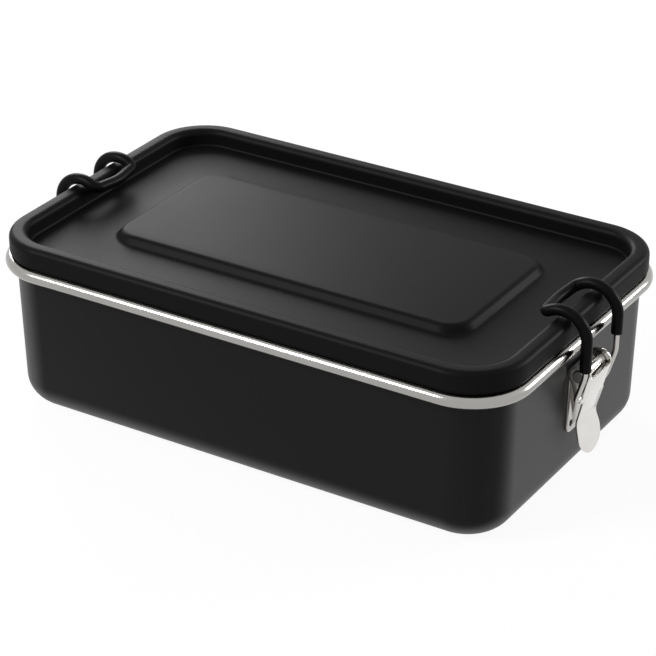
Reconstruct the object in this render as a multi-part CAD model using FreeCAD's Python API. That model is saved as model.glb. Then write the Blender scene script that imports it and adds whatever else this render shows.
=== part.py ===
import FreeCAD, Part
import math
import os

# Metal lunch box: a pressed tray with a rolled rim, a pressed lid with a sealing ring,
# and an over-centre clip on each end. X runs along the length, Y across, Z up, in mm.
# The origin is the middle of the underside.

V = FreeCAD.Vector
TOUCH = 1e-4

# Plan shape: every loop turns its corners about the same four upright axes.
CORNER_X = 89.6
SHEET = 0.6

# Tray
TRAY_TOP_X = 110.1
TRAY_TOP_Y = 67.1
TRAY_FOOT_X = 108.72
TRAY_FOOT_Y = 65.7
TRAY_FOOT_ROUND = 11.6
BEAD_X = 112.39
BEAD_Y = 69.34
BEAD_Z = 62.35
BEAD_RADIUS = 2.61

# Lid
LID_X = 113.2
LID_Y = 70.05
LID_TOP = 74.3
PANEL_TOP = 67.1
RIDGE_WIDTH = 7.5
RIDGE_ROUND = 2.65
PANEL_ROUND = 1.0
PLATEAU_X = 77.8
PLATEAU_Y = 33.5
PLATEAU_CORNER = 9.0
PLATEAU_TOP = 70.6
PLATEAU_SLOPE = 2.6
PLATEAU_ROUND = 1.4

# Sealing ring under the ridge
SEAL_GAP = 0.15
SEAL_TOP = 71.4
SEAL_ABOVE_BEAD = 0.29
SEAL_LIP_WIDTH = 1.9
SEAL_LIP_BOTTOM = 62.0

# Clip: pivot of the lever, and the bail's pivot below it
PIVOT_X = 114.9
PIVOT_Z = 49.6
THROW = 8.5
THROW_LEAN = math.radians(5)
BAIL_X = PIVOT_X + THROW * math.sin(THROW_LEAN)
BAIL_Z = PIVOT_Z - THROW * math.cos(THROW_LEAN)

# Bracket strap
STRAP_HALF = 7.5
STRAP_THICK = 0.8
STRAP_BOTTOM = 22.7
STRAP_CORNER = 3.5
STRAP_SEAT = 0.02
BEND_OUTER = 2.2
CURL_OUTER = 2.8
CURL_INNER = 2.0
CURL_SLIT = 0.6
STRAP_HOLE_RADIUS = 1.35
STRAP_HOLE_Y = 4.0
STRAP_HOLE_Z = 26.4

# Pivot pin
PIN_RADIUS = 1.95
PIN_HEAD_RADIUS = 2.7
PIN_HEAD_HIGH = 0.9
PIN_HEAD_ROUND = 0.6

# Lever
LEVER_THICK = 0.8
LEVER_HALF = 8.6
EAR_RADIUS = 4.7
EAR_END_RADIUS = 2.6
EAR_HOLE_SLACK = 0.1
LEVER_TOP = (119.9, 49.6)
LEVER_WAIST = (114.3, 28.4)
LEVER_BULB = (117.2, 18.6)
LEVER_TIP = (117.6, 14.6)
WAIST_BEND = 9.0
BULB_BEND = 5.0
WAIST_HALF = 7.75
WAIST_Z = 28.0
BULB_HALF = 8.4
BULB_Z = 24.1
EAR_FOOT_Z = 38.4
SHOULDER_ROUND = 1.5

# Bail
WIRE_RADIUS = 1.05
SLEEVE_BORE = 1.08
SLEEVE_RADIUS = 2.25
LEG_Y = 12.7
LEG_X = 119.1
KNEE_Z = 52.5
KNEE_BEND = 12.0
FOOT_BEND = 1.8
WIRE_END_Y = 7.3
ARCH_X = 108.6
ARCH_Z = 66.85
ARCH_RADIUS = LEG_X - ARCH_X
ARCH_TURN = math.radians(118)
BAR_BEND = 3.0
BAR_BOW = math.radians(8)
BAR_BOW_RADIUS = 30.0
SLEEVE_NEAR_Z = 54.8
SLEEVE_FAR_Z = 59.5


def rounded_path(points, radii):
    """Wire through the points, with each inner corner turned on an arc of its radius."""
    edges = []
    start = points[0]
    for i, radius in enumerate(radii, 1):
        corner = points[i]
        back = (points[i - 1] - corner).normalize()
        ahead = (points[i + 1] - corner).normalize()
        half = back.getAngle(ahead) / 2
        reach = radius / math.tan(half)
        middle = (back + ahead).normalize()
        a = corner + back * reach
        b = corner + ahead * reach
        m = corner + middle * (radius / math.sin(half) - radius)
        if (a - start).Length > TOUCH:
            edges.append(Part.makeLine(start, a))
        edges.append(Part.Arc(a, m, b).toShape())
        start = b
    edges.append(Part.makeLine(start, points[-1]))
    return Part.Wire(edges)


def tube(path, start, direction, radius):
    """Round bar of one radius along a path."""
    ring = Part.Wire([Part.makeCircle(radius, start, direction)])
    return path.makePipeShell([ring], True, True)


def loop(half_x, half_y, corner, z):
    """Closed wire of a rectangle with round corners at one height."""
    x = half_x - corner
    y = half_y - corner
    edges = []
    quarter = math.pi / 2
    centres = [(x, y), (-x, y), (-x, -y), (x, -y)]
    for i, (cx, cy) in enumerate(centres):
        turn = i * quarter
        on = [
            V(cx + corner * math.cos(turn + s * quarter), cy + corner * math.sin(turn + s * quarter), z)
            for s in (0, 0.5, 1)
        ]
        nx, ny = centres[(i + 1) % 4]
        onward = V(nx + corner * math.cos(turn + quarter), ny + corner * math.sin(turn + quarter), z)
        edges.append(Part.Arc(*on).toShape())
        edges.append(Part.makeLine(on[2], onward))
    return Part.Wire(edges)


def slab(half_x, half_y, z0, z1):
    """Upright block on the common corner axes."""
    outline = loop(half_x, half_y, half_x - CORNER_X, z0)
    return Part.Face(outline).extrude(V(0, 0, z1 - z0))


def flared(low, high, z0, z1):
    """Block between two loops, each given as half length, half width and corner."""
    return Part.makeLoft([loop(*low, z0), loop(*high, z1)], True, True)


def edges_at(shape, z):
    """Edges that lie flat at one height."""
    return [e for e in shape.Edges if abs(e.BoundBox.ZMin - z) < TOUCH and abs(e.BoundBox.ZMax - z) < TOUCH]


def tub(inset, z0):
    """Tray's body, filled, drawn in by an inset and standing at z0."""
    low = (TRAY_FOOT_X - inset, TRAY_FOOT_Y - inset, TRAY_FOOT_X - CORNER_X - inset)
    high = (TRAY_TOP_X - inset, TRAY_TOP_Y - inset, TRAY_TOP_X - CORNER_X - inset)
    body = flared(low, high, z0, BEAD_Z)
    return body.makeFillet(TRAY_FOOT_ROUND - inset, edges_at(body, z0))


def make_tray():
    """Pressed tray with its top edge rolled outward into a round bead."""
    line = loop(BEAD_X, BEAD_Y, BEAD_X - CORNER_X, BEAD_Z)
    start = V(BEAD_X, BEAD_Y - (BEAD_X - CORNER_X), BEAD_Z)
    bead = tube(line, start, V(0, 1, 0), BEAD_RADIUS)
    inside = tub(SHEET, SHEET)
    return tub(0, 0).fuse(bead).cut(inside).removeSplitter()


def make_lid():
    """Pressed lid: outer skirt, ridge, sunk panel and raised plateau in one sheet."""
    under = PANEL_TOP - SHEET
    body = slab(LID_X, LID_Y, under, LID_TOP)
    body = body.makeFillet(RIDGE_ROUND, edges_at(body, LID_TOP))
    well_x = LID_X - RIDGE_WIDTH
    well_y = LID_Y - RIDGE_WIDTH
    body = body.cut(slab(well_x, well_y, PANEL_TOP, LID_TOP + SHEET))
    inner = [e for e in edges_at(body, LID_TOP) if e.BoundBox.XMax < well_x + PANEL_ROUND]
    body = body.makeFillet(RIDGE_ROUND, inner)
    body = body.makeFillet(PANEL_ROUND, edges_at(body, PANEL_TOP))

    low = (PLATEAU_X + PLATEAU_SLOPE, PLATEAU_Y + PLATEAU_SLOPE, PLATEAU_CORNER + PLATEAU_SLOPE)
    high = (PLATEAU_X, PLATEAU_Y, PLATEAU_CORNER)
    plateau = flared(low, high, PANEL_TOP, PLATEAU_TOP)
    plateau = plateau.makeFillet(PLATEAU_ROUND, edges_at(plateau, PLATEAU_TOP))
    hollow_low = tuple(size - SHEET for size in low)
    hollow_high = tuple(size - SHEET for size in high)
    hollow = flared(hollow_low, hollow_high, under, PLATEAU_TOP - SHEET)
    hollow = hollow.makeFillet(PLATEAU_ROUND - SHEET, edges_at(hollow, PLATEAU_TOP - SHEET))

    channel = slab(LID_X - SHEET, LID_Y - SHEET, under, LID_TOP - SHEET)
    channel = channel.makeFillet(RIDGE_ROUND - SHEET, edges_at(channel, LID_TOP - SHEET))
    core = slab(well_x + SHEET, well_y + SHEET, under, LID_TOP - SHEET)
    channel = channel.cut(core)
    inner = [e for e in edges_at(channel, LID_TOP - SHEET) if e.BoundBox.XMax < well_x + PANEL_ROUND]
    channel = channel.makeFillet(RIDGE_ROUND - SHEET, inner)
    return body.fuse(plateau).cut(hollow).cut(channel).removeSplitter()


def ring(outer_inset, width, z0, z1):
    """Upright ring between two loops, inset from the lid's outer skirt."""
    outer = slab(LID_X - outer_inset, LID_Y - outer_inset, z0, z1)
    inset = outer_inset + width
    return outer.cut(slab(LID_X - inset, LID_Y - inset, z0, z1))


def make_seal():
    """Elastic ring in the ridge's hollow, with a lip that reaches down inside the rim."""
    inset = SHEET + SEAL_GAP
    width = RIDGE_WIDTH - 2 * inset
    bottom = BEAD_Z + BEAD_RADIUS + SEAL_ABOVE_BEAD
    body = ring(inset, width, bottom, SEAL_TOP)
    lip = ring(inset + width - SEAL_LIP_WIDTH, SEAL_LIP_WIDTH, SEAL_LIP_BOTTOM, bottom)
    return body.fuse(lip).removeSplitter()


def across(half, x, z, radius):
    """Round bar along Y, centred on the middle plane."""
    return Part.makeCylinder(radius, 2 * half, V(x, -half, z), V(0, 1, 0))


def plate(points, y0, y1):
    """Flat plate from a side outline of (x, z) points."""
    corners = [V(x, y0, z) for x, z in points]
    outline = Part.makePolygon(corners + corners[:1])
    return Part.Face(outline).extrude(V(0, y1 - y0, 0))


def wall_x(z):
    """Outer face of the tray's end wall at a height."""
    return TRAY_FOOT_X + (TRAY_TOP_X - TRAY_FOOT_X) * z / BEAD_Z


def make_bracket():
    """Strap on the end wall whose top turns outward and curls round the pivot pin."""
    top = PIVOT_Z + CURL_OUTER
    seat = [V(wall_x(z) + STRAP_SEAT, -STRAP_HALF, z) for z in (STRAP_BOTTOM, top)]
    face = [V(p.x + STRAP_THICK, p.y, p.z) for p in seat]
    ledge = V(PIVOT_X, -STRAP_HALF, top)
    drop = V(0, 0, -STRAP_THICK)
    outer = rounded_path([seat[0], seat[1], ledge], [BEND_OUTER])
    inner = rounded_path([face[0], face[1] + drop, ledge + drop], [BEND_OUTER - STRAP_THICK])
    ends = [Part.makeLine(seat[0], face[0]), Part.makeLine(ledge, ledge + drop)]
    outline = Part.Wire(Part.__sortEdges__(outer.Edges + inner.Edges + ends))
    strap = Part.Face(outline).extrude(V(0, 2 * STRAP_HALF, 0))
    corners = [
        e
        for e in strap.Edges
        if e.BoundBox.ZMax < STRAP_BOTTOM + STRAP_THICK and e.BoundBox.YLength < STRAP_THICK
    ]
    strap = strap.makeFillet(STRAP_CORNER, corners)
    curl = across(STRAP_HALF, PIVOT_X, PIVOT_Z, CURL_OUTER)
    slit_top = top - STRAP_THICK
    slit = plate(
        [
            (PIVOT_X - CURL_OUTER, slit_top - CURL_SLIT),
            (PIVOT_X - PIN_HEAD_ROUND, slit_top - CURL_SLIT),
            (PIVOT_X - PIN_HEAD_ROUND, slit_top),
            (PIVOT_X - CURL_OUTER, slit_top),
        ],
        -STRAP_HALF,
        STRAP_HALF,
    )
    body = curl.cut(slit).fuse(strap)
    body = body.cut(across(STRAP_HALF, PIVOT_X, PIVOT_Z, CURL_INNER))
    for y in (-STRAP_HOLE_Y, STRAP_HOLE_Y):
        at = V(wall_x(STRAP_HOLE_Z), y, STRAP_HOLE_Z)
        body = body.cut(Part.makeCylinder(STRAP_HOLE_RADIUS, STRAP_THICK * 2, at, V(1, 0, 0)))
    return body.removeSplitter()


def make_pin():
    """Pin through the curl and both lever ears, with a low rounded head at each end."""
    pin = across(LEVER_HALF, PIVOT_X, PIVOT_Z, PIN_RADIUS)
    for side in (-1, 1):
        foot = V(PIVOT_X, side * LEVER_HALF, PIVOT_Z)
        head = Part.makeCylinder(PIN_HEAD_RADIUS, PIN_HEAD_HIGH, foot, V(0, side, 0))
        end = side * (LEVER_HALF + PIN_HEAD_HIGH)
        rim = [e for e in head.Edges if abs(e.CenterOfMass.y - end) < PIN_HEAD_ROUND / 2 and e.Closed]
        pin = pin.fuse(head.makeFillet(PIN_HEAD_ROUND, rim))
    return pin.removeSplitter()


def lever_front():
    """Front of the lever: a bent plate trimmed to its waisted outline."""
    profile = [LEVER_TOP, LEVER_WAIST, LEVER_BULB, LEVER_TIP]
    half = LEVER_HALF
    outside = rounded_path([V(x, -half, z) for x, z in profile], [WAIST_BEND, BULB_BEND])
    inward = V(-LEVER_THICK, 0, 0)
    inside = rounded_path(
        [V(x, -half, z) + inward for x, z in profile],
        [WAIST_BEND - LEVER_THICK, BULB_BEND],
    )
    first = V(LEVER_TOP[0], -half, LEVER_TOP[1])
    last = V(LEVER_TIP[0], -half, LEVER_TIP[1])
    ends = [Part.makeLine(first, first + inward), Part.makeLine(last, last + inward)]
    outline = Part.Wire(Part.__sortEdges__(outside.Edges + inside.Edges + ends))
    band = Part.Face(outline).extrude(V(0, 2 * half, 0))

    x = PIVOT_X - EAR_RADIUS
    right = [V(x, LEVER_HALF, z) for z in (LEVER_TOP[1], EAR_FOOT_Z)]
    right += [V(x, WAIST_HALF, WAIST_Z), V(x, BULB_HALF, BULB_Z)]
    left = [V(p.x, -p.y, p.z) for p in right]
    sides = [
        rounded_path(side, [WAIST_BEND, WAIST_BEND]).Edges
        for side in (right, left)
    ]
    tip = Part.Arc(right[-1], V(x, 0, LEVER_TIP[1]), left[-1]).toShape()
    top = Part.makeLine(right[0], left[0])
    front = Part.Wire(Part.__sortEdges__(sides[0] + sides[1] + [tip, top]))
    trim = Part.Face(front).extrude(V(2 * EAR_RADIUS + LEVER_HALF, 0, 0))
    return band.common(trim)


def lever_ear(side):
    """Side ear of the lever, holding the pin above and the bail's end below."""
    y0 = LEVER_HALF - LEVER_THICK if side > 0 else -LEVER_HALF
    y1 = y0 + LEVER_THICK
    thick = LEVER_THICK / 2

    def disc(x, z, radius):
        return Part.makeCylinder(radius, LEVER_THICK, V(x, y0, z), V(0, 1, 0))

    slope = (LEVER_TOP[0] - LEVER_WAIST[0]) / (LEVER_TOP[1] - LEVER_WAIST[1])
    foot_x = LEVER_TOP[0] - slope * (LEVER_TOP[1] - EAR_FOOT_Z) - thick
    reach = EAR_RADIUS - EAR_END_RADIUS
    swing = math.asin(reach / THROW)
    level = math.pi + THROW_LEAN - swing
    near = (math.cos(level), math.sin(level))
    web = plate(
        [
            (PIVOT_X, PIVOT_Z),
            (PIVOT_X + EAR_RADIUS * near[0], PIVOT_Z + EAR_RADIUS * near[1]),
            (BAIL_X + EAR_END_RADIUS * near[0], BAIL_Z + EAR_END_RADIUS * near[1]),
            (BAIL_X, BAIL_Z),
            (BAIL_X, BAIL_Z - EAR_END_RADIUS),
            (foot_x, EAR_FOOT_Z),
            (LEVER_TOP[0] - thick, LEVER_TOP[1]),
        ],
        y0,
        y1,
    )
    ear = disc(PIVOT_X, PIVOT_Z, EAR_RADIUS).fuse([disc(BAIL_X, BAIL_Z, EAR_END_RADIUS), web])
    return ear.cut(disc(PIVOT_X, PIVOT_Z, PIN_RADIUS))


def shoulder_cut(side):
    """Sliver to take off where the front plate turns back into an ear, leaving a round shoulder."""
    top = V(LEVER_TOP[0], side * LEVER_HALF, LEVER_TOP[1])
    waist = V(LEVER_WAIST[0], side * LEVER_HALF, LEVER_WAIST[1])
    down = (waist - top).normalize()
    aside = V(0, side, 0)
    front = V(-down.z, 0, down.x)
    corner = top - down * LEVER_THICK
    on_side = corner - front * SHOULDER_ROUND
    on_front = corner - aside * SHOULDER_ROUND
    middle = corner - (front + aside) * (SHOULDER_ROUND * (1 - math.sqrt(0.5)))
    beyond = LEVER_THICK
    points = [
        on_front,
        on_front + front * beyond,
        corner + (front + aside) * beyond,
        on_side + aside * beyond,
        on_side,
    ]
    outline = Part.makePolygon(points).Edges + [Part.Arc(on_side, middle, on_front).toShape()]
    length = LEVER_THICK + (LEVER_TOP[1] - EAR_FOOT_Z) / -down.z
    return Part.Face(Part.Wire(outline)).extrude(down * length)


def make_lever():
    """Bent lever: waisted front plate with two ears turned back."""
    lever = lever_front().fuse([lever_ear(1), lever_ear(-1)])
    lever = lever.cut([shoulder_cut(1), shoulder_cut(-1)])
    lever = lever.cut(across(2 * LEVER_HALF, BAIL_X, BAIL_Z, WIRE_RADIUS + EAR_HOLE_SLACK))
    return lever.removeSplitter()


def bail_points():
    """Corner points of half the bail's centre line, from the leg's foot to the crossbar's middle."""
    along = V(-math.sin(ARCH_TURN), 0, math.cos(ARCH_TURN))
    crest = V(LEG_X, -LEG_Y, ARCH_Z + ARCH_RADIUS * math.tan(ARCH_TURN / 2))
    arch_end = V(
        ARCH_X + ARCH_RADIUS * math.cos(ARCH_TURN),
        -LEG_Y,
        ARCH_Z + ARCH_RADIUS * math.sin(ARCH_TURN),
    )
    turn = arch_end + along * (BAR_BEND * math.tan((math.pi / 2 - BAR_BOW) / 2))
    middle = turn + V(0, LEG_Y, 0) + along * (LEG_Y * math.tan(BAR_BOW))
    knee = V(LEG_X, -LEG_Y, KNEE_Z)
    foot = V(BAIL_X, -LEG_Y, BAIL_Z)
    return foot, knee, crest, turn, middle


def flip(points):
    """The same points on the other side of the middle plane, in reverse order."""
    return [V(p.x, -p.y, p.z) for p in reversed(points)]


def make_wire():
    """Bent wire bail with its ends turned inward."""
    foot, knee, crest, turn, middle = bail_points()
    end = V(BAIL_X, -WIRE_END_Y, BAIL_Z)
    half = [end, foot, knee, crest, turn]
    bends = [FOOT_BEND, KNEE_BEND, ARCH_RADIUS, BAR_BEND]
    path = rounded_path(half + [middle] + flip(half), bends + [BAR_BOW_RADIUS] + bends[::-1])
    return tube(path, end, V(0, -1, 0), WIRE_RADIUS)


def make_sleeve():
    """Elastic tube over the bail's arch and crossbar."""
    crest, turn, middle = bail_points()[2:]
    near = V(LEG_X, -LEG_Y, SLEEVE_NEAR_Z)
    far = V(LEG_X, LEG_Y, SLEEVE_FAR_Z)
    half = [crest, turn]
    bends = [ARCH_RADIUS, BAR_BEND]
    path = rounded_path([near] + half + [middle] + flip(half) + [far], bends + [BAR_BOW_RADIUS] + bends[::-1])
    outer = tube(path, near, V(0, 0, 1), SLEEVE_RADIUS)
    return outer.cut(tube(path, near, V(0, 0, 1), SLEEVE_BORE))


def half_turned(shape):
    """The same piece at the other end of the box."""
    other = shape.copy()
    other.rotate(V(0, 0, 0), V(0, 0, 1), 180)
    return other


def main():
    os.makedirs("parts", exist_ok=True)
    pieces = {"tray": make_tray(), "lid": make_lid(), "lid_seal": make_seal()}
    clip = {
        "bracket": make_bracket(),
        "pivot_pin": make_pin(),
        "lever": make_lever(),
        "bail_wire": make_wire(),
        "bail_sleeve": make_sleeve(),
    }
    for name, shape in clip.items():
        pieces["right_" + name] = shape
        pieces["left_" + name] = half_turned(shape)
    for name, shape in pieces.items():
        print(name, shape.isValid(), len(shape.Solids), round(shape.Volume, 1), shape.BoundBox)
        shape.exportStep("parts/" + name + ".step")


main()
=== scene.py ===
import math

import bmesh
import bpy
from bpy.props import FloatProperty, FloatVectorProperty, IntProperty, PointerProperty
from bpy.types import Operator, Panel, PropertyGroup
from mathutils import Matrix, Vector


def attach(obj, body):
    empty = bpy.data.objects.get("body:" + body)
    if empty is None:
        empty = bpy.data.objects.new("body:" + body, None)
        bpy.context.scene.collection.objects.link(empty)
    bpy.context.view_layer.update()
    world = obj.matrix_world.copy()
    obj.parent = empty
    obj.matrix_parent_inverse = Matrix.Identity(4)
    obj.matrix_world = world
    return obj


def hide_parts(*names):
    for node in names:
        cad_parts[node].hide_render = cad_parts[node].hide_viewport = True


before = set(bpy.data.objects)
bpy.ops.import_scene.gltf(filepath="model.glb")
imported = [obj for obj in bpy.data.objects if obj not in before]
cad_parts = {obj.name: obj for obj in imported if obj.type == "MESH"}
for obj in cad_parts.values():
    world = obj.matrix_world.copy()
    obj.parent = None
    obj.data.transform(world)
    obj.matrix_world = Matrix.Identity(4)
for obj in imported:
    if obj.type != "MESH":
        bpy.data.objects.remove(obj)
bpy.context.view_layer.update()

bl_info = {
    "name": "Metal lunch box",
    "version": (1, 0, 0),
    "blender": (4, 5, 0),
    "location": "View3D > Sidebar > Lunch box",
    "description": "Builds the pieces, finishes and stage of a coated steel lunch box with two end clips",
    "category": "Object",
}

SIDES = ("right", "left")

NEAR = 1e-5  # points this close count as being at the same place
MERGE = 1e-6  # points of one surface this close are made one
FINE_MERGE = 1e-7  # the same, where no small edge may be lost
FLAT_ANGLE = math.radians(0.5)  # faces that turn less than this are one flat face
SMOOTH_ANGLE = math.radians(32)  # edges that turn more than this stay crisp
SHARP_ANGLE = math.radians(40)  # edges that turn more than this are cut edges
BEND_STEP = math.radians(5)  # turn of each step along a bend
FEWEST_BEND_STEPS = 4
EDGE_STEPS = 2

GLOSS_FROM, GLOSS_TO = 0.28, 0.6  # gloss rises between these views, where 0 is face on and 1 edge on
FLOOR_BELOW = 0.0002
FLOOR_COLOUR = (0.9, 0.9, 0.9)
FLOOR_WHITE = 0.93  # share of plain white in the floor where it is seen
WHITE = (1.0, 1.0, 1.0)
LAMPS = (
    # name, place, aim, size, power
    ("key", (-0.69, 0.58, 0.45), (-0.05, 0.0, 0.06), (0.45, 0.45), 5.5),
    ("front", (-0.56, -0.85, 0.78), (0.0, -0.03, 0.07), (0.4, 0.4), 13.0),
    ("back_right", (0.72, 0.75, 0.38), (0.08, 0.0, 0.07), (0.35, 0.3), 7.0),
)


def length(name, description, default):
    """A size in metres that a user may change."""
    return FloatProperty(name=name, description=description, default=default, unit="LENGTH", precision=5)


def angle(name, description, degrees):
    """An angle that a user may change."""
    return FloatProperty(name=name, description=description, default=math.radians(degrees), subtype="ANGLE")


def spot(name, description, default):
    """A place in metres that a user may change."""
    return FloatVectorProperty(name=name, description=description, default=default, subtype="TRANSLATION")


def amount(name, description, default):
    """A plain number that a user may change."""
    return FloatProperty(name=name, description=description, default=default, precision=5)


def colour(name, description, default):
    """A colour that a user may change."""
    return FloatVectorProperty(name=name, description=description, default=default, subtype="COLOR", size=3)


class TraySizes(PropertyGroup):
    """Sizes of the tray and its rolled rim."""

    foot_x: length("Foot half length", "Half the length where the wall meets the bottom", 0.10872)
    foot_y: length("Foot half width", "Half the width where the wall meets the bottom", 0.0657)
    top_x: length("Top half length", "Half the length under the rim", 0.1101)
    top_y: length("Top half width", "Half the width under the rim", 0.0671)
    corner_axis: length("Corner axis", "Distance of the corner axes from the middle, lengthwise", 0.0896)
    foot_round: length("Foot round", "Radius between wall and bottom", 0.0116)
    sheet: length("Sheet", "Thickness of the pressed sheet", 0.0006)
    rim_x: length("Rim half length", "Half the length of the rim's centre line", 0.11239)
    rim_y: length("Rim half width", "Half the width of the rim's centre line", 0.06934)
    rim_z: length("Rim height", "Height of the rim's centre line", 0.06235)
    rim_radius: length("Rim radius", "Radius of the rolled edge", 0.00261)


class LidSizes(PropertyGroup):
    """Sizes of the lid and of the ring under its ridge."""

    half_x: length("Half length", "Half the length of the lid's skirt", 0.1132)
    half_y: length("Half width", "Half the width of the lid's skirt", 0.07005)
    bottom: length("Bottom", "Height of the skirt's lower edge", 0.0665)
    top: length("Top", "Height of the ridge", 0.0743)
    panel: length("Panel", "Height of the sunk panel", 0.0671)
    ridge: length("Ridge", "Width of the raised ridge", 0.0075)
    ridge_round: length("Ridge round", "Radius of both upper edges of the ridge", 0.00265)
    panel_round: length("Panel round", "Radius where the ridge meets the panel", 0.001)
    plateau_x: length("Plateau half length", "Half the length of the plateau's top", 0.0778)
    plateau_y: length("Plateau half width", "Half the width of the plateau's top", 0.0335)
    plateau_top: length("Plateau top", "Height of the plateau", 0.0706)
    plateau_corner: length("Plateau corner", "Corner radius at the plateau's foot", 0.0116)
    plateau_slope: length("Plateau slope", "How far the plateau's flank leans in", 0.0026)
    plateau_round: length("Plateau round", "Radius of the plateau's upper edge", 0.0014)
    seal_bottom: length("Seal bottom", "Height of the ring's underside", 0.06525)
    seal_top: length("Seal top", "Height of the ring's upper side", 0.0714)
    seal_gap: length("Seal gap", "Distance from skirt to ring", 0.00075)
    seal_width: length("Seal width", "Width of the ring", 0.006)
    lip_width: length("Lip width", "Width of the lip that reaches into the tray", 0.0019)
    lip_bottom: length("Lip bottom", "Height of the lip's lower edge", 0.062)
    lip_round: length("Lip round", "Radius of the lip's outer lower edge", 0.0006)


class ClipSizes(PropertyGroup):
    """Sizes of the wire bails and of the edges of the bent sheet pieces."""

    bail_x: length("Bail pivot x", "Where the wire's ends sit in the lever, along the length", 0.11564)
    bail_z: length("Bail pivot z", "Height of the wire's ends", 0.041132)
    leg_x: length("Leg x", "Place of the upright legs along the length", 0.1191)
    leg_y: length("Leg y", "Half the distance between the legs", 0.0127)
    knee_z: length("Knee", "Height where the legs turn upright", 0.0525)
    knee_bend: length("Knee bend", "Bend radius at the knee", 0.012)
    foot_bend: length("Foot bend", "Bend radius at the wire's ends", 0.0018)
    wire_end: length("Wire end", "Half the distance between the wire's end faces", 0.0073)
    arch_x: length("Arch x", "Middle of the arch along the length", 0.1086)
    arch_z: length("Arch z", "Height of the arch's middle", 0.06685)
    arch_turn: angle("Arch turn", "Angle that the arch turns through", 118)
    bar_bend: length("Bar bend", "Bend radius between arch and crossbar", 0.003)
    bar_bow: angle("Bar bow", "Slant of each half of the crossbar", 8)
    bar_bow_radius: length("Bar bow radius", "Bend radius at the crossbar's middle", 0.03)
    wire_radius: length("Wire radius", "Radius of the wire", 0.00105)
    sleeve_radius: length("Sleeve radius", "Outer radius of the sleeve", 0.00225)
    sleeve_wall: length("Sleeve wall", "Wall thickness of the sleeve", 0.00117)
    sleeve_near: length("Sleeve near end", "Height of the sleeve's lower end", 0.0548)
    sleeve_far: length("Sleeve far end", "Height of the sleeve's other end", 0.0595)
    sleeve_round: length("Sleeve round", "Rounding of the sleeve's ends", 0.00025)
    edge_round: length("Edge round", "Rounding of cut sheet edges", 0.00012)


class Finishes(PropertyGroup):
    """Colours of the finishes."""

    coat: colour("Coat", "Black satin coat", (0.0035, 0.0035, 0.0037))
    steel: colour("Steel", "Polished steel of the levers", (0.72, 0.70, 0.675))
    drawn: colour("Drawn steel", "Drawn steel of the wires, brackets and pins", (0.47, 0.455, 0.435))
    # the rim's colour is steel made darker than the bare steel of the tray: painted shade that stands in
    # for the dark reflections on the rolled edge
    rim: colour("Rim steel", "Rolled edge of the tray", (0.36, 0.35, 0.335))
    inner: colour("Inner steel", "Bare steel inside", (0.6, 0.59, 0.57))
    rubber: colour("Rubber", "Black elastic sleeve and ring", (0.003, 0.003, 0.0031))


class StageSettings(PropertyGroup):
    """Camera and light."""

    camera_place: spot("Camera", "Place of the camera", (0.47601, -0.76725, 0.51146))
    camera_aim: spot("Aim", "Point that the camera looks at", (0.0, 0.0, 0.03391))
    lens: amount("Lens", "Focal length in millimetres", 141.95)
    sensor: amount("Sensor", "Width of the camera's sensor in millimetres", 36.0)
    shift_x: amount("Shift across", "Sideways shift of the picture, as a share of its width", 0.00134)
    shift_y: amount("Shift up", "Upward shift of the picture, as a share of its width", 0.00064)
    seen_from: length("Seen from", "Nearest distance that the camera sees", 0.01)
    seen_to: length("Seen to", "Farthest distance that the camera sees", 50.0)
    world_light: amount("World", "Strength of the light from all round", 0.45)
    floor_size: length("Floor", "Edge length of the floor", 12.0)


class LunchBoxSettings(PropertyGroup):
    """All settings of the lunch box."""

    tray: PointerProperty(type=TraySizes)
    lid: PointerProperty(type=LidSizes)
    clip: PointerProperty(type=ClipSizes)
    finish: PointerProperty(type=Finishes)
    stage: PointerProperty(type=StageSettings)
    corner_steps: IntProperty(name="Corner steps", description="Edges in each round corner", default=28)
    tube_sides: IntProperty(name="Tube sides", description="Edges round each wire or tube", default=28)


class Value:
    """A shader socket that takes part in Python expressions."""

    def __init__(self, shade, socket):
        self.shade = shade
        self.socket = socket

    def _math(self, operation, first, second):
        return self.shade.node("ShaderNodeMath", {"operation": operation}, {0: first, 1: second})

    def __add__(self, other):
        return self._math("ADD", self, other)

    def __radd__(self, other):
        return self._math("ADD", other, self)

    def __mul__(self, other):
        return self._math("MULTIPLY", self, other)

    def __rmul__(self, other):
        return self._math("MULTIPLY", other, self)


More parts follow.
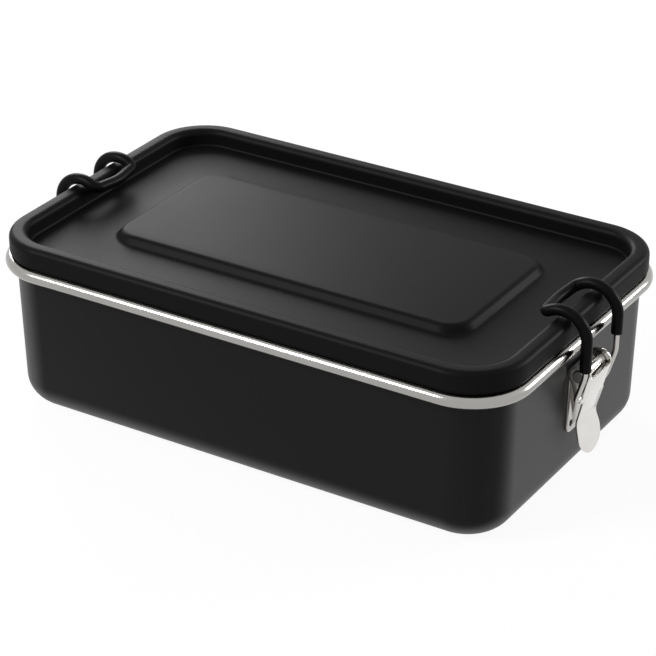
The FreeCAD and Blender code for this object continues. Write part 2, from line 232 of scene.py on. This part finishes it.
class Shade:
    """The node tree of a material or world, and the one way in which its nodes are made."""

    def __init__(self, owner):
        owner.use_nodes = True
        self.owner = owner
        self.tree = owner.node_tree
        self.tree.nodes.clear()

    def node(self, kind, settings=None, inputs=None, out=0):
        """A new node: its settings first, then the values or links of its sockets."""
        made = self.tree.nodes.new(kind)
        for key, value in (settings or {}).items():
            setattr(made, key, value)
        for key, value in (inputs or {}).items():
            if isinstance(value, Value):
                self.tree.links.new(value.socket, made.inputs[key])
            elif made.inputs[key].type == "RGBA":
                made.inputs[key].default_value = (*value, 1.0)
            else:
                made.inputs[key].default_value = value
        return Value(self, made.outputs[out]) if made.outputs else None

    def place(self, scale=(1.0, 1.0, 1.0)):
        """Where a point lies on its piece."""
        here = self.node("ShaderNodeTexCoord", out="Object")
        return self.node("ShaderNodeMapping", {}, {"Vector": here, "Scale": scale})

    def noise(self, where, scale, detail=2.0, roughness=0.5):
        """An uneven value about one half."""
        inputs = {"Vector": where, "Scale": scale, "Detail": detail, "Roughness": roughness}
        return self.node("ShaderNodeTexNoise", {}, inputs)

    def mottled(self, share, base, dark, light):
        """A colour that wanders between a darker and a lighter shade of itself."""
        # on a Mix node the colours are inputs 6 and 7 and output 2
        colours = {6: tint(base, dark), 7: tint(base, light)}
        return self.node("ShaderNodeMix", {"data_type": "RGBA"}, {0: share, **colours}, out=2)

    def by_angle(self, least, most):
        """A value that rises smoothly as the surface is seen at a flatter angle."""
        facing = self.node("ShaderNodeLayerWeight", {}, {"Blend": 0.5}, out="Facing")
        rise = {"interpolation_type": "SMOOTHSTEP"}
        span = {"From Min": GLOSS_FROM, "From Max": GLOSS_TO, "To Min": least, "To Max": most}
        return self.node("ShaderNodeMapRange", rise, {"Value": facing, **span})

    def bump(self, height, strength, distance):
        """A normal for small unevenness."""
        inputs = {"Height": height, "Strength": strength, "Distance": distance}
        return self.node("ShaderNodeBump", {}, inputs)

    def surface(self, **inputs):
        """Finishes the material with one surface shader, and returns it."""
        named = {key.replace("_", " "): value for key, value in inputs.items()}
        self.finish(self.node("ShaderNodeBsdfPrincipled", {}, named))
        return self.owner

    def seen(self):
        """1 for rays from the camera and for mirrored or refracted ones, 0 for light on its way."""
        names = ("Is Camera Ray", "Is Glossy Ray", "Is Transmission Ray")
        straight, mirrored, refracted = (self.node("ShaderNodeLightPath", out=name) for name in names)
        return straight + mirrored + refracted

    def finish(self, shader, kind="ShaderNodeOutputMaterial"):
        """Sends a shader to the output."""
        self.node(kind, {}, {"Surface": shader})


def tint(base, factor):
    """A colour made lighter or darker."""
    return tuple(part * factor for part in base)


def satin_coat(name, base, ior, level, gloss=None):
    """Black baked coat with fine orange peel, and a gloss that may rise at flat angles."""
    shade = Shade(bpy.data.materials.new(name))
    where = shade.place()
    cloud = shade.noise(where, scale=14.0, detail=3.0)
    grain = shade.noise(where, scale=2600.0)
    peel = shade.noise(where, scale=700.0)
    return shade.surface(
        Base_Color=shade.mottled(grain, base, dark=0.8, light=1.25),
        Roughness=0.40 + 0.06 * cloud + 0.05 * grain,
        IOR=ior,
        Specular_IOR_Level=level,
        Coat_Weight=shade.by_angle(*gloss) if gloss else 0.0,
        Coat_Roughness=0.4,
        Coat_IOR=1.7,
        Normal=shade.bump(0.6 * peel + 0.4 * grain, strength=0.10, distance=0.0002),
    )


def polished_steel(name, base, streak=(40.0, 4000.0, 900.0), rough=0.08):
    """Bright steel with fine drawn lines and a little cloudiness."""
    shade = Shade(bpy.data.materials.new(name))
    line = shade.noise(shade.place(streak), scale=1.0, detail=3.0, roughness=0.6)
    cloud = shade.noise(shade.place(), scale=60.0, detail=3.0)
    return shade.surface(
        Base_Color=shade.mottled(cloud, base, dark=0.92, light=1.05),
        Metallic=1.0,
        Roughness=rough + 0.08 * line + 0.08 * cloud,
        Normal=shade.bump(line, strength=0.06, distance=0.0001),
    )


def black_rubber(name, base):
    """Elastic black with a soft sheen and a faint moulded grain."""
    shade = Shade(bpy.data.materials.new(name))
    where = shade.place()
    grain = shade.noise(where, scale=1800.0)
    cloud = shade.noise(where, scale=90.0)
    return shade.surface(
        Base_Color=shade.mottled(cloud, base, dark=0.85, light=1.3),
        Roughness=0.30 + 0.10 * cloud + 0.04 * grain,
        IOR=1.3,
        Specular_IOR_Level=0.1,
        Normal=shade.bump(grain, strength=0.12, distance=0.0001),
    )


def finish_of(kind):
    """One of the finishes, made on its first use."""
    known = bpy.data.materials.get(kind)
    if known:
        return known
    colours = bpy.context.scene.lunch_box.finish
    if kind == "lid_black_coat":
        return satin_coat(kind, colours.coat, ior=1.125, level=0.5)
    if kind == "tray_black_coat":
        return satin_coat(kind, colours.coat, ior=1.5, level=0.03, gloss=(0.1, 0.5))
    if kind == "polished_steel":
        return polished_steel(kind, colours.steel)
    if kind == "drawn_steel":
        return polished_steel(kind, colours.drawn, rough=0.12)
    # the rim's darker steel colour is painted shade for the dark reflections on the rolled edge
    if kind == "rim_steel":
        return polished_steel(kind, colours.rim)
    if kind == "inner_steel":
        return polished_steel(kind, colours.inner, streak=(60.0, 3000.0, 600.0), rough=0.26)
    if kind == "black_rubber":
        return black_rubber(kind, colours.rubber)
    raise ValueError("no finish named " + kind)


def nothing_selected():
    """Object mode with nothing selected."""
    if bpy.context.mode != "OBJECT":
        bpy.ops.object.mode_set(mode="OBJECT")
    bpy.ops.object.select_all(action="DESELECT")


def only(piece):
    """Object mode with one piece selected and active."""
    nothing_selected()
    bpy.context.view_layer.objects.active = piece
    piece.select_set(True)


def editing(piece):
    """Edit mode on one piece, with nothing in it selected."""
    only(piece)
    bpy.ops.object.mode_set(mode="EDIT")
    bpy.ops.mesh.select_mode(type="VERT")
    bpy.ops.mesh.select_all(action="DESELECT")


def pick(piece, kind, test):
    """Selects the edges or faces that pass a test, and nothing else."""
    bpy.ops.mesh.select_all(action="DESELECT")
    bpy.ops.mesh.select_mode(type="EDGE" if kind == "edges" else "FACE")
    mesh = bmesh.from_edit_mesh(piece.data)
    found = [part for part in getattr(mesh, kind) if test(part)]
    for part in found:
        part.select_set(True)
    bmesh.update_edit_mesh(piece.data)
    if not found:
        raise RuntimeError(piece.name + ": nothing to select")


def off_loop(point, half_x, half_y, corner):
    """Distance of a point, seen from above, from a rectangle with round corners."""
    x = max(abs(point.x) - half_x + corner, 0.0)
    y = max(abs(point.y) - half_y + corner, 0.0)
    inside = min(max(abs(point.x) - half_x + corner, abs(point.y) - half_y + corner), 0.0)
    return math.hypot(x, y) + inside - corner


def round_loop(piece, z, loop, radius, steps):
    """Rounds the edge loop that lies at one height on a rectangle with round corners."""

    def on(edge):
        return all(abs(v.co.z - z) < NEAR and abs(off_loop(v.co, *loop)) < NEAR for v in edge.verts)

    pick(piece, "edges", on)
    bpy.ops.mesh.bevel(offset=radius, segments=steps, profile=0.5, affect="EDGES")


def start_plate(name, half_x, half_y, corner, z):
    """A flat plate with round corners, in edit mode and selected all over."""
    nothing_selected()
    bpy.ops.mesh.primitive_plane_add(size=2)
    piece = bpy.context.object
    piece.name = piece.data.name = name
    bpy.ops.object.mode_set(mode="EDIT")
    bpy.ops.mesh.select_all(action="SELECT")
    bpy.ops.transform.resize(value=(half_x, half_y, 1))
    bpy.ops.transform.translate(value=(0, 0, z))
    steps = bpy.context.scene.lunch_box.corner_steps
    bpy.ops.mesh.bevel(offset=corner, segments=steps, profile=0.5, affect="VERTICES")
    bpy.ops.mesh.select_all(action="SELECT")
    return piece


def raise_face(height):
    """Extrudes what is selected straight up or down."""
    bpy.ops.mesh.extrude_region_move(TRANSFORM_OT_translate={"value": (0, 0, height)})


def choose_points(piece, numbers):
    """Selects the points with these numbers and the faces between them, and nothing else."""
    bpy.ops.mesh.select_all(action="DESELECT")
    mesh = bmesh.from_edit_mesh(piece.data)
    mesh.verts.ensure_lookup_table()
    for i in numbers:
        mesh.verts[i].select_set(True)
    mesh.select_flush(True)
    bmesh.update_edit_mesh(piece.data)


def spread_corners(piece, by_x, by_y):
    """Moves the four round corners of the selected loop in or out without changing their radius."""
    bpy.ops.mesh.select_mode(type="VERT")
    mesh = bmesh.from_edit_mesh(piece.data)
    chosen = {v.index: v.co.copy() for v in mesh.verts if v.select}
    for sign_x in (-1, 1):
        for sign_y in (-1, 1):
            choose_points(piece, [i for i, p in chosen.items() if p.x * sign_x > 0 and p.y * sign_y > 0])
            bpy.ops.transform.translate(value=(sign_x * by_x, sign_y * by_y, 0))
    choose_points(piece, chosen)
    bpy.ops.mesh.select_mode(type="FACE")


def outward():
    """Merges doubles and turns every face outward."""
    bpy.ops.mesh.select_all(action="SELECT")
    bpy.ops.mesh.remove_doubles(threshold=FINE_MERGE)
    bpy.ops.mesh.normals_make_consistent(inside=False)


def thicken(piece, sheet):
    """Gives a sheet its thickness inward, with the inner side in the second finish."""
    only(piece)
    wall = piece.modifiers.new("sheet", "SOLIDIFY")
    wall.thickness = sheet
    wall.offset = -1.0
    wall.use_even_offset = True
    wall.material_offset = 1
    wall.material_offset_rim = 1
    bpy.ops.object.modifier_apply(modifier=wall.name)


def smooth(piece):
    """Smooth shading that leaves sharp edges crisp."""
    only(piece)
    bpy.ops.object.shade_smooth_by_angle(angle=SMOOTH_ANGLE)


def settle(piece, body, node):
    """Puts a finished piece on its body, in place of its node."""
    nothing_selected()
    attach(piece, body)
    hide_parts(node)


def turned(piece, name):
    """A copy with its own mesh at the other end of the box."""
    nothing_selected()
    other = piece.copy()
    other.data = piece.data.copy()
    other.name = other.data.name = name
    bpy.context.collection.objects.link(other)
    editing(other)
    bpy.ops.mesh.select_all(action="SELECT")
    bpy.ops.transform.rotate(value=math.pi, orient_axis="Z", center_override=(0, 0, 0))
    nothing_selected()
    return other


def corner_arc(before, corner, after, radius):
    """Start, end, centre, axis and angle of the arc that rounds a corner."""
    back = (before - corner).normalized()
    ahead = (after - corner).normalized()
    half = back.angle(ahead) / 2
    reach = radius / math.tan(half)
    centre = corner + (back + ahead).normalized() * (radius / math.sin(half))
    axis = (-back).cross(ahead).normalized()
    return corner + back * reach, corner + ahead * reach, centre, axis, math.pi - 2 * half


def open_ends(piece):
    """Takes away the two end faces of a tube."""
    sides = bpy.context.scene.lunch_box.tube_sides
    pick(piece, "faces", lambda face: len(face.verts) == sides)
    bpy.ops.mesh.delete(type="ONLY_FACE")


def bend_tube(name, points, radii, radius, closed=False):
    """A round bar bent along corner points: a disc extruded along the runs and spun round the bends."""
    nothing_selected()
    heading = (points[1] - points[0]).normalized()
    bpy.ops.mesh.primitive_circle_add(
        vertices=bpy.context.scene.lunch_box.tube_sides,
        radius=radius,
        fill_type="NGON",
        location=points[0],
        rotation=heading.to_track_quat("Z", "Y").to_euler(),
    )
    piece = bpy.context.object
    piece.name = piece.data.name = name
    bpy.ops.object.transform_apply(location=True, rotation=True, scale=True)
    bpy.ops.object.mode_set(mode="EDIT")
    bpy.ops.mesh.select_mode(type="FACE")
    bpy.ops.mesh.select_all(action="SELECT")
    here = points[0]
    for i, bend in enumerate(radii, 1):
        start, end, centre, axis, turn = corner_arc(points[i - 1], points[i], points[i + 1], bend)
        if (start - here).length > NEAR:
            bpy.ops.mesh.extrude_region_move(TRANSFORM_OT_translate={"value": start - here})
        steps = max(FEWEST_BEND_STEPS, math.ceil(turn / BEND_STEP))
        bpy.ops.mesh.spin(steps=steps, angle=-turn, center=centre, axis=axis)
        here = end
    bpy.ops.mesh.extrude_region_move(TRANSFORM_OT_translate={"value": points[-1] - here})
    if closed:
        open_ends(piece)
        bpy.ops.mesh.select_all(action="SELECT")
        bpy.ops.mesh.remove_doubles(threshold=MERGE)
    outward()
    return piece


def merged_copy(node, name):
    """A new piece from a node's shape, merged, with its flat faces whole again."""
    nothing_selected()
    piece = bpy.data.objects.new(name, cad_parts[node].data.copy())
    piece.data.name = name
    piece.data.materials.clear()
    bpy.context.collection.objects.link(piece)
    editing(piece)
    bpy.ops.mesh.select_all(action="SELECT")
    bpy.ops.mesh.remove_doubles(threshold=MERGE)
    bpy.ops.mesh.dissolve_limited(angle_limit=FLAT_ANGLE)
    nothing_selected()
    return piece


def break_edges(piece, width):
    """Rounds every cut edge of a piece a little."""
    only(piece)
    bevel = piece.modifiers.new("edges", "BEVEL")
    bevel.width = width
    bevel.segments = EDGE_STEPS
    bevel.limit_method = "ANGLE"
    bevel.angle_limit = SHARP_ANGLE
    bpy.ops.object.modifier_apply(modifier=bevel.name)


class LUNCHBOX_OT_tray(Operator):
    """Pressed tray and its rolled rim"""

    bl_idname = "lunchbox.tray"
    bl_label = "Tray"

    def execute(self, context):
        size = context.scene.lunch_box.tray
        corner = size.foot_x - size.corner_axis
        shell = start_plate("tray_shell", size.foot_x, size.foot_y, corner, 0)
        raise_face(size.rim_z)
        bpy.ops.transform.resize(value=(size.top_x / size.foot_x, size.top_y / size.foot_y, 1))
        bpy.ops.mesh.delete(type="ONLY_FACE")
        outward()
        round_loop(shell, 0, (size.foot_x, size.foot_y, corner), size.foot_round, steps=14)
        shell.data.materials.append(finish_of("tray_black_coat"))
        shell.data.materials.append(finish_of("inner_steel"))
        thicken(shell, size.sheet)
        smooth(shell)
        settle(shell, "tray", "tray")

        x, y = size.rim_x, size.rim_y
        plan = [(x, 0), (x, y), (-x, y), (-x, -y), (x, -y), (x, 0)]
        points = [Vector((*point, size.rim_z)) for point in plan]
        rim = bend_tube("tray_rim", points, [x - size.corner_axis] * 4, size.rim_radius, closed=True)
        rim.data.materials.append(finish_of("rim_steel"))
        smooth(rim)
        settle(rim, "tray", "tray")
        return {"FINISHED"}


class LUNCHBOX_OT_lid(Operator):
    """Pressed lid with ridge, sunk panel and plateau"""

    bl_idname = "lunchbox.lid"
    bl_label = "Lid"

    def execute(self, context):
        size = context.scene.lunch_box.lid
        axis = context.scene.lunch_box.tray.corner_axis
        skirt = (size.half_x, size.half_y, size.half_x - axis)
        well = tuple(part - size.ridge for part in skirt)
        slope = size.plateau_slope
        foot = (size.plateau_x + slope, size.plateau_y + slope, size.plateau_corner)
        lid = start_plate("lid_shell", *skirt, size.bottom)
        raise_face(size.top - size.bottom)
        bpy.ops.mesh.inset(thickness=size.ridge, depth=0)
        raise_face(size.panel - size.top)
        inward = well[2] - foot[2]
        bpy.ops.mesh.inset(thickness=inward, depth=0)
        spread_corners(lid, foot[0] - well[0] + inward, foot[1] - well[1] + inward)
        bpy.ops.mesh.inset(thickness=slope, depth=size.plateau_top - size.panel)
        crown = tuple(part - slope for part in foot)
        pick(lid, "faces", lambda face: all(abs(v.co.z - size.bottom) < NEAR for v in face.verts))
        bpy.ops.mesh.delete(type="ONLY_FACE")
        outward()
        round_loop(lid, size.top, skirt, size.ridge_round, steps=10)
        round_loop(lid, size.top, well, size.ridge_round, steps=10)
        round_loop(lid, size.panel, well, size.panel_round, steps=5)
        round_loop(lid, size.panel, foot, size.panel_round, steps=5)
        round_loop(lid, size.plateau_top, crown, size.plateau_round, steps=6)
        lid.data.materials.append(finish_of("lid_black_coat"))
        lid.data.materials.append(finish_of("inner_steel"))
        thicken(lid, context.scene.lunch_box.tray.sheet)
        smooth(lid)
        settle(lid, "lid", "lid")
        return {"FINISHED"}


class LUNCHBOX_OT_seal(Operator):
    """Elastic ring in the hollow under the lid's ridge"""

    bl_idname = "lunchbox.seal"
    bl_label = "Lid seal"

    def execute(self, context):
        size = context.scene.lunch_box.lid
        axis = context.scene.lunch_box.tray.corner_axis
        outer = (size.half_x - size.seal_gap, size.half_y - size.seal_gap)
        seal = start_plate("seal_ring", *outer, outer[0] - axis, size.seal_bottom)
        bpy.ops.mesh.inset(thickness=size.seal_width - size.lip_width, depth=0)
        bpy.ops.mesh.inset(thickness=size.lip_width, depth=0)
        bpy.ops.mesh.delete(type="ONLY_FACE")
        bpy.ops.mesh.select_all(action="SELECT")
        raise_face(size.seal_top - size.seal_bottom)
        lip_x = outer[0] - size.seal_width + size.lip_width
        lip_y = outer[1] - size.seal_width + size.lip_width
        lip = (lip_x, lip_y, lip_x - axis)

        def on_lip(face):
            spots = [v.co for v in face.verts]
            return all(abs(p.z - size.seal_bottom) < NEAR and off_loop(p, *lip) < NEAR for p in spots)

        pick(seal, "faces", on_lip)
        raise_face(size.lip_bottom - size.seal_bottom)
        outward()
        round_loop(seal, size.lip_bottom, lip, size.lip_round, steps=4)
        seal.data.materials.append(finish_of("black_rubber"))
        smooth(seal)
        settle(seal, "lid", "lid_seal")
        return {"FINISHED"}


class LUNCHBOX_OT_levers(Operator):
    """Levers, brackets and pivot pins of both clips"""

    bl_idname = "lunchbox.levers"
    bl_label = "Levers and brackets"

    def execute(self, context):
        width = context.scene.lunch_box.clip.edge_round
        for side in SIDES:
            for part, body, slot, finish in (
                ("lever", side + "_lever", "lever_steel", "polished_steel"),
                ("bracket", "tray", "bracket_steel", "drawn_steel"),
                ("pivot_pin", side + "_lever", "pin_steel", "drawn_steel"),
            ):
                node = side + "_" + part
                piece = merged_copy(node, node + "_sheet")
                break_edges(piece, width)
                piece.data.materials.append(finish_of(finish))
                smooth(piece)
                settle(piece, body, node)
        return {"FINISHED"}


def bail_corners(size):
    """Corner points of half the bail, from the wire's foot to the crossbar's middle."""
    turn = size.arch_turn
    radius = size.leg_x - size.arch_x
    along = Vector((-math.sin(turn), 0, math.cos(turn)))
    foot = Vector((size.bail_x, -size.leg_y, size.bail_z))
    knee = Vector((size.leg_x, -size.leg_y, size.knee_z))
    crest = Vector((size.leg_x, -size.leg_y, size.arch_z + radius * math.tan(turn / 2)))
    middle_of_arch = Vector((size.arch_x, -size.leg_y, size.arch_z))
    end = middle_of_arch + Vector((math.cos(turn), 0, math.sin(turn))) * radius
    bar = end + along * size.bar_bend * math.tan((math.pi / 2 - size.bar_bow) / 2)
    middle = bar + Vector((0, size.leg_y, 0)) + along * size.leg_y * math.tan(size.bar_bow)
    return foot, knee, crest, bar, middle


def across(points):
    """The same points on the other side of the middle, in reverse."""
    return [Vector((p.x, -p.y, p.z)) for p in reversed(points)]


class LUNCHBOX_OT_bails(Operator):
    """Wire bails and their elastic sleeves"""

    bl_idname = "lunchbox.bails"
    bl_label = "Bails and sleeves"

    def execute(self, context):
        size = context.scene.lunch_box.clip
        foot, knee, crest, bar, middle = bail_corners(size)
        arch = size.leg_x - size.arch_x
        end = Vector((foot.x, -size.wire_end, foot.z))
        half = [end, foot, knee, crest, bar]
        bends = [size.foot_bend, size.knee_bend, arch, size.bar_bend]
        wire = bend_tube(
            "right_bail_bar",
            half + [middle] + across(half),
            bends + [size.bar_bow_radius] + bends[::-1],
            size.wire_radius,
        )
        wire.data.materials.append(finish_of("drawn_steel"))
        smooth(wire)

        near = Vector((size.leg_x, -size.leg_y, size.sleeve_near))
        far = Vector((size.leg_x, size.leg_y, size.sleeve_far))
        half = [crest, bar]
        bends = [arch, size.bar_bend]
        sleeve = bend_tube(
            "right_bail_tube",
            [near] + half + [middle] + across(half) + [far],
            bends + [size.bar_bow_radius] + bends[::-1],
            size.sleeve_radius,
        )
        open_ends(sleeve)
        sleeve.data.materials.append(finish_of("black_rubber"))
        thicken(sleeve, size.sleeve_wall)
        break_edges(sleeve, size.sleeve_round)
        smooth(sleeve)

        for piece, part, slot in ((wire, "wire", "wire_steel"), (sleeve, "sleeve", "sleeve_rubber")):
            other = turned(piece, piece.name.replace("right", "left"))
            settle(piece, "right_bail", "right_bail_" + part)
            settle(other, "left_bail", "left_bail_" + part)
        return {"FINISHED"}


class LUNCHBOX_OT_stage(Operator):
    """Floor, light and camera"""

    bl_idname = "lunchbox.stage"
    bl_label = "Stage"

    def execute(self, context):
        stage = context.scene.lunch_box.stage
        nothing_selected()
        bpy.ops.mesh.primitive_plane_add(size=stage.floor_size, location=(0, 0, -FLOOR_BELOW))
        floor = context.object
        floor.name = "floor"
        shade = Shade(bpy.data.materials.new("white_floor"))
        matt = shade.node("ShaderNodeBsdfDiffuse", {}, {"Color": FLOOR_COLOUR})
        white = shade.node("ShaderNodeEmission", {}, {"Color": WHITE, "Strength": 1.0})
        share = FLOOR_WHITE * shade.seen()
        shade.finish(shade.node("ShaderNodeMixShader", {}, {0: share, 1: matt, 2: white}))
        floor.data.materials.append(shade.owner)
        self.light_world(context, stage.world_light)
        for lamp in LAMPS:
            self.add_lamp(context, *lamp)
        self.aim_camera(context, stage)
        return {"FINISHED"}

    def light_world(self, context, strength):
        """Even light from all round, white where it is seen."""
        shade = Shade(bpy.data.worlds.new("studio"))
        context.scene.world = shade.owner
        light = shade.node("ShaderNodeBackground", {}, {"Color": WHITE, "Strength": strength})
        backdrop = shade.node("ShaderNodeBackground", {}, {"Color": WHITE, "Strength": 1.0})
        mix = shade.node("ShaderNodeMixShader", {}, {0: shade.seen(), 1: light, 2: backdrop})
        shade.finish(mix, "ShaderNodeOutputWorld")

    def add_lamp(self, context, name, place, aim, size, power):
        """A soft rectangular lamp."""
        bpy.ops.object.light_add(type="AREA", location=place)
        lamp = context.object
        lamp.name = name
        lamp.data.shape = "RECTANGLE"
        lamp.data.size, lamp.data.size_y = size
        lamp.data.energy = power
        lamp.rotation_euler = (Vector(aim) - Vector(place)).to_track_quat("-Z", "Y").to_euler()

    def aim_camera(self, context, stage):
        """Camera at the photographed angle."""
        place, aim = Vector(stage.camera_place), Vector(stage.camera_aim)
        bpy.ops.object.camera_add(location=place)
        camera = context.object
        camera.rotation_euler = (aim - place).to_track_quat("-Z", "Y").to_euler()
        camera.data.lens = stage.lens
        camera.data.sensor_width = stage.sensor
        camera.data.shift_x, camera.data.shift_y = stage.shift_x, stage.shift_y
        camera.data.clip_start, camera.data.clip_end = stage.seen_from, stage.seen_to
        context.scene.camera = camera
        context.scene.view_settings.view_transform = "Standard"


class LUNCHBOX_PT_panel(Panel):
    """Lists the pieces of the lunch box"""

    bl_idname = "LUNCHBOX_PT_panel"
    bl_label = "Lunch box"
    bl_space_type = "VIEW_3D"
    bl_region_type = "UI"
    bl_category = "Lunch box"

    def draw(self, context):
        for operator in OPERATORS:
            self.layout.operator(operator.bl_idname)


GROUPS = (TraySizes, LidSizes, ClipSizes, Finishes, StageSettings, LunchBoxSettings)
OPERATORS = (
    LUNCHBOX_OT_tray,
    LUNCHBOX_OT_lid,
    LUNCHBOX_OT_seal,
    LUNCHBOX_OT_levers,
    LUNCHBOX_OT_bails,
    LUNCHBOX_OT_stage,
)
CLASSES = (*GROUPS, *OPERATORS, LUNCHBOX_PT_panel)


def register():
    for cls in CLASSES:
        bpy.utils.register_class(cls)
    bpy.types.Scene.lunch_box = PointerProperty(type=LunchBoxSettings)


def unregister():
    del bpy.types.Scene.lunch_box
    for cls in reversed(CLASSES):
        bpy.utils.unregister_class(cls)


def main():
    register()
    bpy.ops.lunchbox.tray()
    bpy.ops.lunchbox.lid()
    bpy.ops.lunchbox.seal()
    bpy.ops.lunchbox.levers()
    bpy.ops.lunchbox.bails()
    bpy.ops.lunchbox.stage()


if __name__ == "__main__":
    main()
